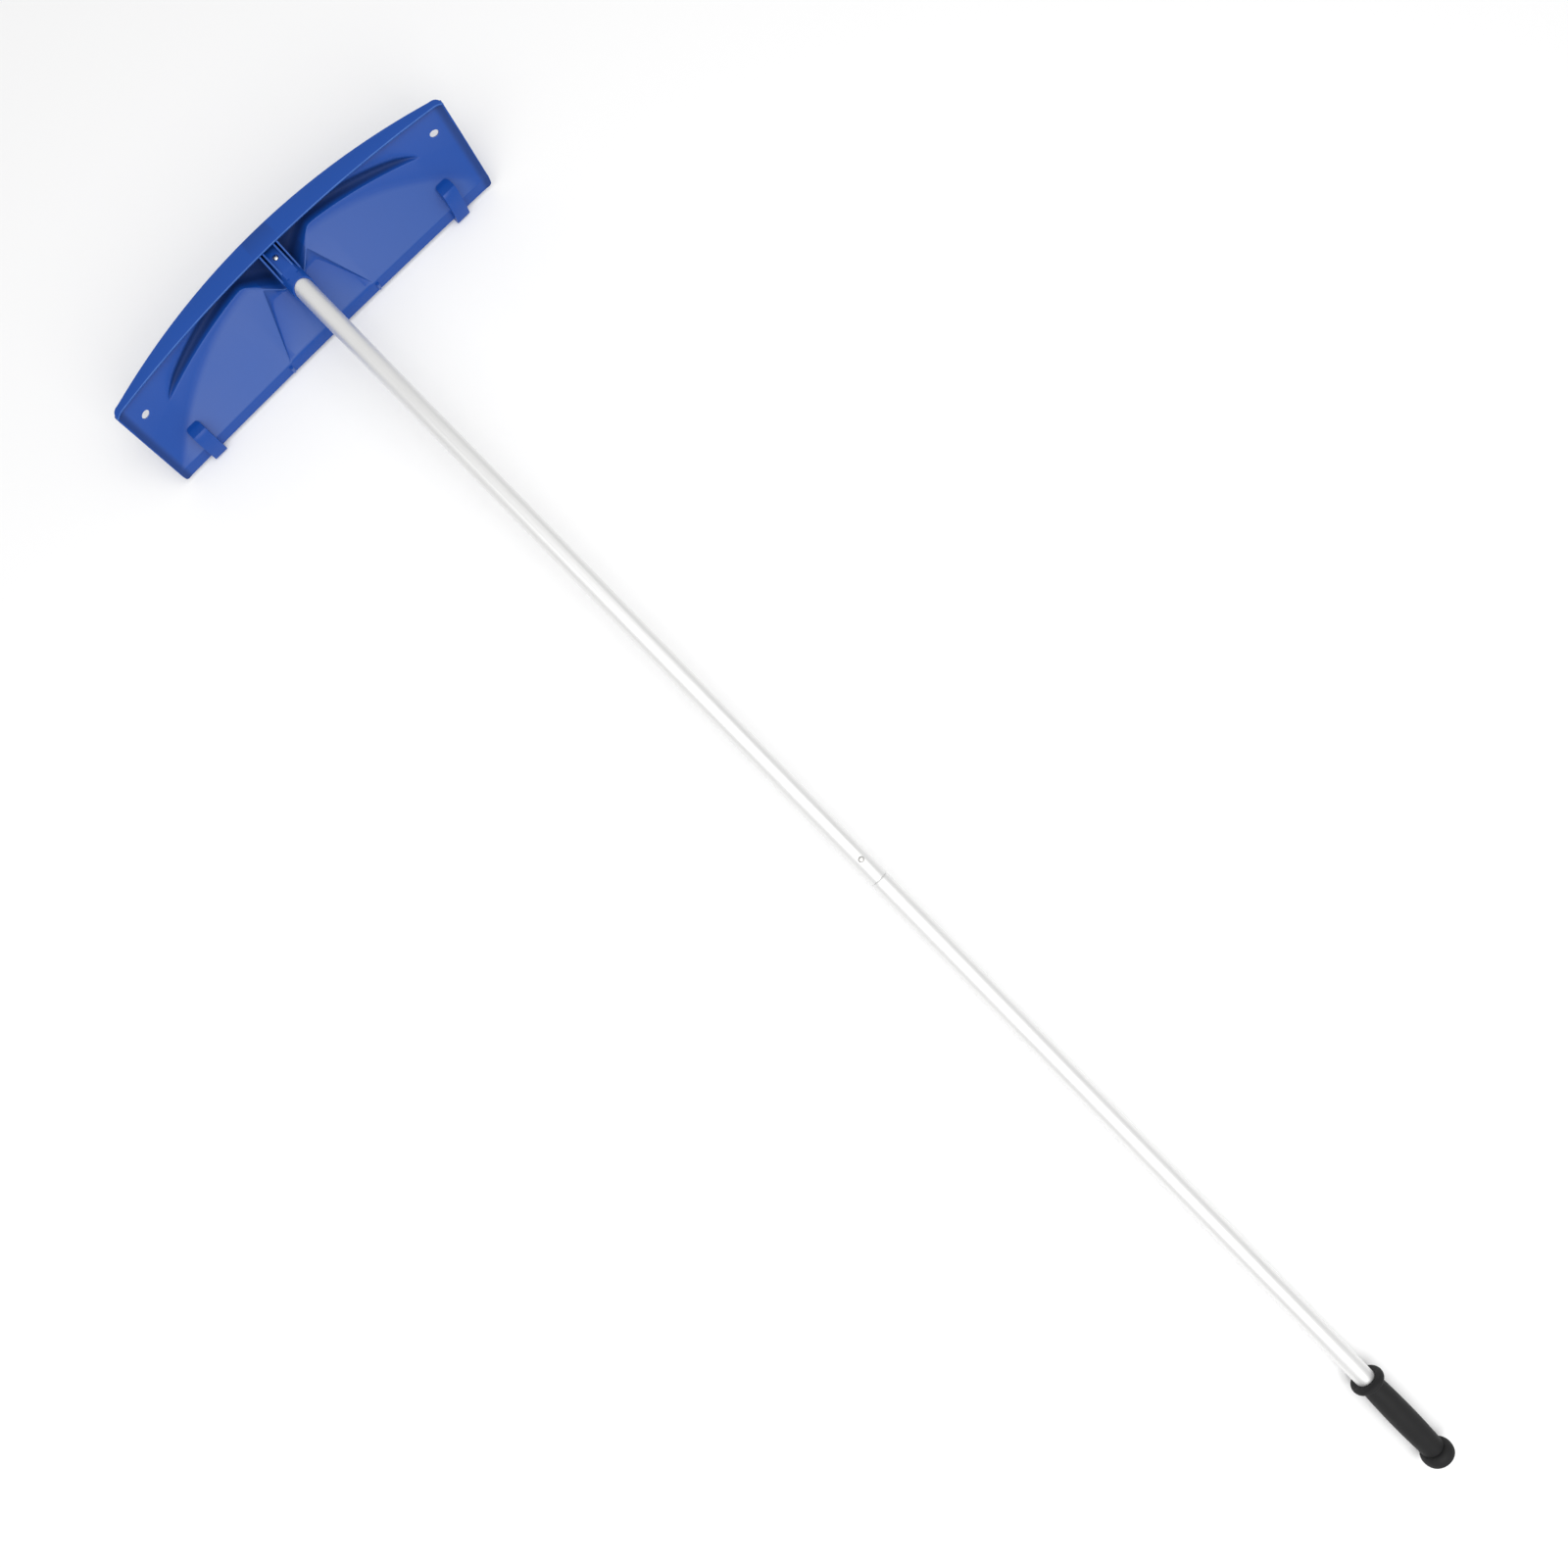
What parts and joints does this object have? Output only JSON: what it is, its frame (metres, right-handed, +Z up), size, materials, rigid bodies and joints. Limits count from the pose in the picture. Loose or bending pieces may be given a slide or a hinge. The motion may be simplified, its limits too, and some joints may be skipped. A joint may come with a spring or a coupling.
{
  "type": "roof snow rake",
  "caption": "Wide curved plastic blade with a top flange and runners, on a two-section round pole with sprung locking buttons and a rubber grip.",
  "frame": {"origin": "on the floor, under the middle of the rake's length and width", "axes": "+Y along the rake from the blade to the grip, +Z up, +X across the blade; the rake lies on its two runners and the knob of its grip"},
  "size_m": [0.612, 2.3134, 0.1178],
  "materials": {
    "blade_plastic": "moulded polypropylene, satin",
    "tube_aluminium": "clear satin anodised",
    "grip_rubber": "matt black",
    "clip_steel": "spring steel, bare",
    "button_steel": "nickel plated"
  },
  "bodies": {
    "rake": {"blade": "blade_plastic", "head_tube": "tube_aluminium", "handle_tube": "tube_aluminium", "grip": "grip_rubber", "head_spring_clip": "clip_steel", "joint_spring_clip": "clip_steel"},
    "head_button": {"head_button": "button_steel"},
    "joint_button": {"joint_button": "button_steel"}
  },
  "joints": [
    {"name": "head_button_press", "type": "slide", "parent": "rake", "child": "head_button", "axis": [0, -0.0285, -0.9996], "range_m": [0, 0.0036], "stiffness_N_per_m": 2000, "springref_m": -0.002, "deforming": ["head_spring_clip"]},
    {"name": "joint_button_press", "type": "slide", "parent": "rake", "child": "joint_button", "axis": [0, -0.0285, -0.9996], "range_m": [0, 0.0042], "stiffness_N_per_m": 2000, "springref_m": -0.002, "deforming": ["joint_spring_clip"]}
  ]
}
